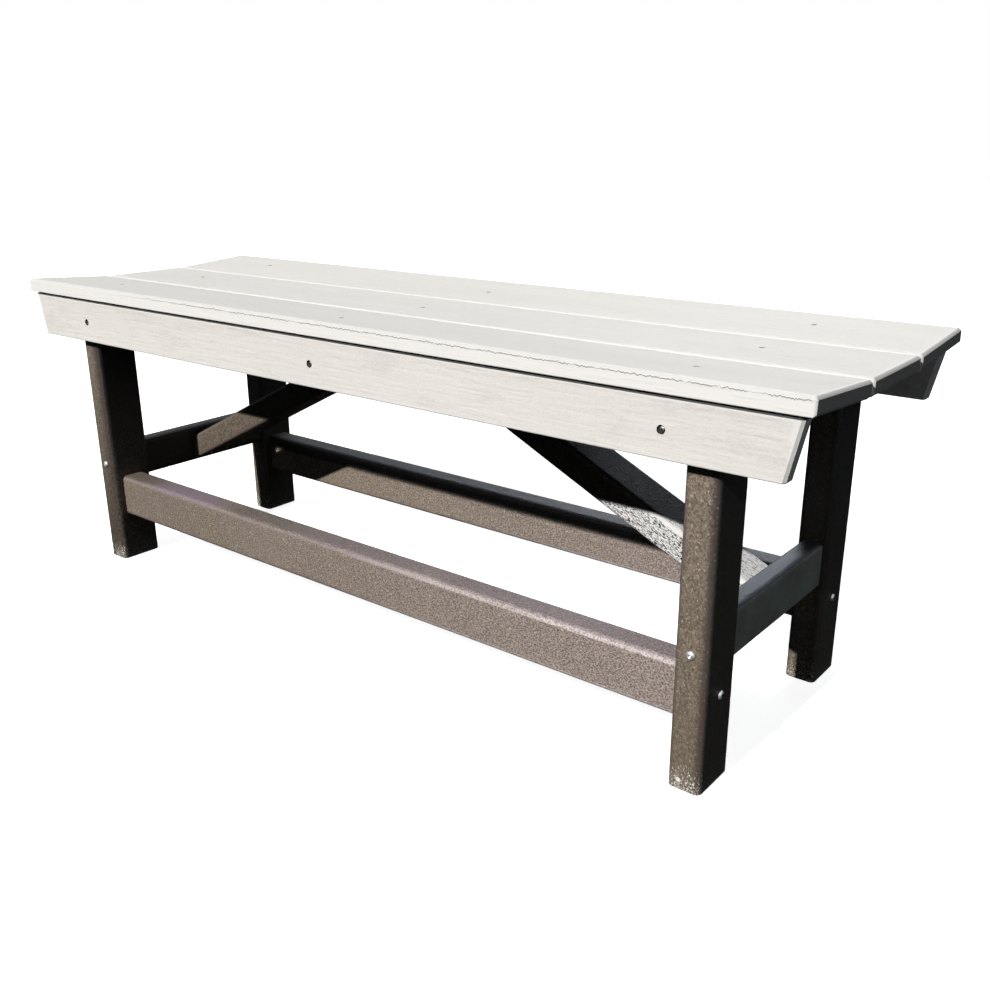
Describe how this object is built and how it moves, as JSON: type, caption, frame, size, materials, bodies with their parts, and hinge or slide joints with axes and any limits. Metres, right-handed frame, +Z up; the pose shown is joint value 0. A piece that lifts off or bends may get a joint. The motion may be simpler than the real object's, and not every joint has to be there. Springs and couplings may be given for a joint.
{
  "type": "backless bench",
  "caption": "Backless bench with a dished slatted seat of planks, aprons front and rear, square legs, long stretchers, end rails and two sloping braces.",
  "frame": {"origin": "centre of the bench on the floor, under the middle of the seat", "axes": "+X along the bench to its right end seen from the front, -Y to the front, +Z up from the floor"},
  "size_m": [1.334, 0.4338, 0.4686],
  "materials": {
    "seat_boards": "off-white embossed plastic lumber, satin",
    "frame_bars": "weathered dark taupe-brown plastic lumber with a pebbled surface, semi-gloss",
    "screws": "stainless steel",
    "bolts": "polished stainless steel"
  },
  "bodies": {
    "root": {"seat_board_front": "seat_boards", "seat_board_middle": "seat_boards", "seat_board_rear": "seat_boards", "apron_front": "seat_boards", "apron_rear": "seat_boards", "leg_front_left": "frame_bars", "leg_front_right": "frame_bars", "leg_rear_left": "frame_bars", "leg_rear_right": "frame_bars", "stretcher_front": "frame_bars", "stretcher_rear": "frame_bars", "end_rail_left": "frame_bars", "end_rail_right": "frame_bars", "seat_support_left": "frame_bars", "seat_support_center": "frame_bars", "seat_support_right": "frame_bars", "brace_left": "frame_bars", "brace_right": "frame_bars", "seat_screws": "screws", "apron_screws_front": "screws", "apron_screws_rear": "screws", "stretcher_bolts": "bolts", "end_rail_bolts": "bolts", "support_screws": "screws", "brace_screws": "screws"}
  },
  "joints": []
}
